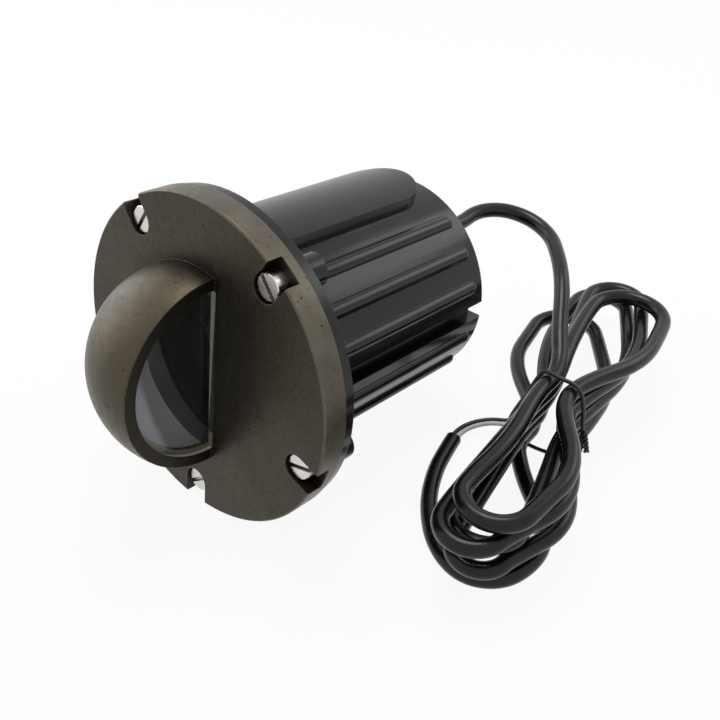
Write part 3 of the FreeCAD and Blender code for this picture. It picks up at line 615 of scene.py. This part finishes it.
def dress_all():
    wire_black = plastic("core_black", (0.012, 0.012, 0.012), 0.4, 0.7, 0.02, (0.03, 0.03, 0.03), 0.1)
    wire_white = plastic("core_white", (0.72, 0.71, 0.66), 0.42, 0.7, 0.02, (0.8, 0.8, 0.76), 0.1)
    jacket = cord_jacket()
    tie = plastic("tie_black", (0.012, 0.012, 0.012), 0.45, 0.5, 0.04, (0.03, 0.03, 0.03), 0.15)
    dress(bronze(), "cover_casting")
    dress(glass(), "window_glass")
    dress(sealant(), "window_sealant")
    stainless = metal("stainless", (0.68, 0.66, 0.64), 0.26, (1.0, 1.0, 6.0), 0.4, flat=True)
    dress(stainless, "cover_screws", "carrier_screws")
    for *look, pieces in METALS:
        dress(metal(*look), *pieces)
    for *look, pieces in PLASTICS:
        dress(plastic(*look), *pieces)
    dress(housing_black(), "housing_body")
    dress(clear_lens(), "lamp_lens")
    dress(circuit_board(), "lamp_board")
    dress(wire_black, "socket_lead_black", "supply_core_black")
    dress(wire_white, "socket_lead_white", "supply_core_white")
    dress(jacket, "cord_inner")
    dress(tie, "cord_stop")
    return jacket.material, wire_black.material, wire_white.material, tie.material


# Wire tie

def tie_end_points(phase):
    """Control points of one of the tie's two ends, twisted round each other beside the ring."""
    start = Vector(TIE_END_START)
    run = Vector(TIE_END_STOP) - start
    across = run.cross(Vector((0, 1, 0))).normalized()
    forward = run.cross(across).normalized()
    points = []
    for i in range(TIE_END_STEPS + 1):
        share = i / TIE_END_STEPS
        turn = phase + 2 * math.pi * TIE_END_TURNS * share
        aside = across * math.cos(turn) + forward * math.sin(turn)
        points.append(start + run * share + aside * (TIE_END_D / 2))
    return points


def add_tie(finish):
    ring = []
    for x, z in TIE_RING:
        ring.append((x, WAIST[1] + (z - TIE_RING[0][1]) * TIE_LEAN, z))
    tie = nurbs_tube("wire_tie", ring, TIE_D, cyclic=True)
    tie.data.materials.append(finish)
    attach(tie, "housing")
    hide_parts("cord_tie")
    for i in range(2):
        end = nurbs_tube(f"wire_tie_end_{i + 1}", tie_end_points(math.pi * i), TIE_END_D)
        end.data.materials.append(finish)
        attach(end, "housing")


# Studio

def camera_share(tree, share):
    """Factor that is share for rays that show the background, and 0 for rays that only light."""
    path = tree.nodes.new("ShaderNodeLightPath")
    seen = path.outputs["Is Camera Ray"]
    for ray in ("Is Glossy Ray", "Is Transmission Ray"):
        either = tree.nodes.new("ShaderNodeMath")
        either.operation = "MAXIMUM"
        tree.links.new(seen, either.inputs[0])
        tree.links.new(path.outputs[ray], either.inputs[1])
        seen = either.outputs["Value"]
    scaled = tree.nodes.new("ShaderNodeMath")
    scaled.operation = "MULTIPLY"
    tree.links.new(seen, scaled.inputs[0])
    scaled.inputs[1].default_value = share
    return scaled.outputs["Value"]


def add_floor():
    half = FLOOR_HALF * MM
    mesh = bpy.data.meshes.new("studio_floor")
    corners = [(-half, -half, 0), (half, -half, 0), (half, half, 0), (-half, half, 0)]
    mesh.from_pydata(corners, [], [(0, 1, 2, 3)])
    floor = bpy.data.objects.new("studio_floor", mesh)
    bpy.context.scene.collection.objects.link(floor)
    white = bpy.data.materials.new("floor_white")
    white.use_nodes = True
    tree = white.node_tree
    shader = tree.nodes["Principled BSDF"]
    shader.inputs["Base Color"].default_value = (FLOOR_WHITE, FLOOR_WHITE, FLOOR_WHITE, 1.0)
    shader.inputs["Roughness"].default_value = FLOOR_ROUGHNESS
    glow = tree.nodes.new("ShaderNodeEmission")
    both = tree.nodes.new("ShaderNodeMixShader")
    tree.links.new(camera_share(tree, FLOOR_OWN_LIGHT), both.inputs["Fac"])
    tree.links.new(shader.outputs["BSDF"], both.inputs[1])
    tree.links.new(glow.outputs["Emission"], both.inputs[2])
    tree.links.new(both.outputs["Shader"], tree.nodes["Material Output"].inputs["Surface"])
    mesh.materials.append(white)


def add_sky():
    world = bpy.data.worlds.new("studio")
    world.use_nodes = True
    tree = world.node_tree
    lighting = tree.nodes["Background"]
    lighting.inputs["Color"].default_value = (1, 1, 1, 1)
    lighting.inputs["Strength"].default_value = SKY_STRENGTH
    shown = tree.nodes.new("ShaderNodeBackground")
    shown.inputs["Color"].default_value = (1, 1, 1, 1)
    both = tree.nodes.new("ShaderNodeMixShader")
    tree.links.new(camera_share(tree, 1.0), both.inputs["Fac"])
    tree.links.new(lighting.outputs["Background"], both.inputs[1])
    tree.links.new(shown.outputs["Background"], both.inputs[2])
    tree.links.new(both.outputs["Shader"], tree.nodes["World Output"].inputs["Surface"])
    bpy.context.scene.world = world


def add_softbox(name, place, aim, width, height, watts):
    data = bpy.data.lights.new(name, "AREA")
    data.shape = "RECTANGLE"
    data.size = width * MM
    data.size_y = height * MM
    data.energy = watts
    lamp = bpy.data.objects.new(name, data)
    lamp.location = metres(place)
    lamp.rotation_euler = (metres(aim) - metres(place)).to_track_quat("-Z", "Y").to_euler()
    bpy.context.scene.collection.objects.link(lamp)


add_camera()
jacket, wire_black, wire_white, tie_black = dress_all()
add_cord(jacket)
add_core("core_black_end", -1, "far_core_black", wire_black)
add_core("core_white_end", 1, "far_core_white", wire_white)
add_tie(tie_black)
add_floor()
add_sky()
for box in SOFTBOXES:
    add_softbox(*box)
bpy.context.scene.view_settings.view_transform = "Standard"
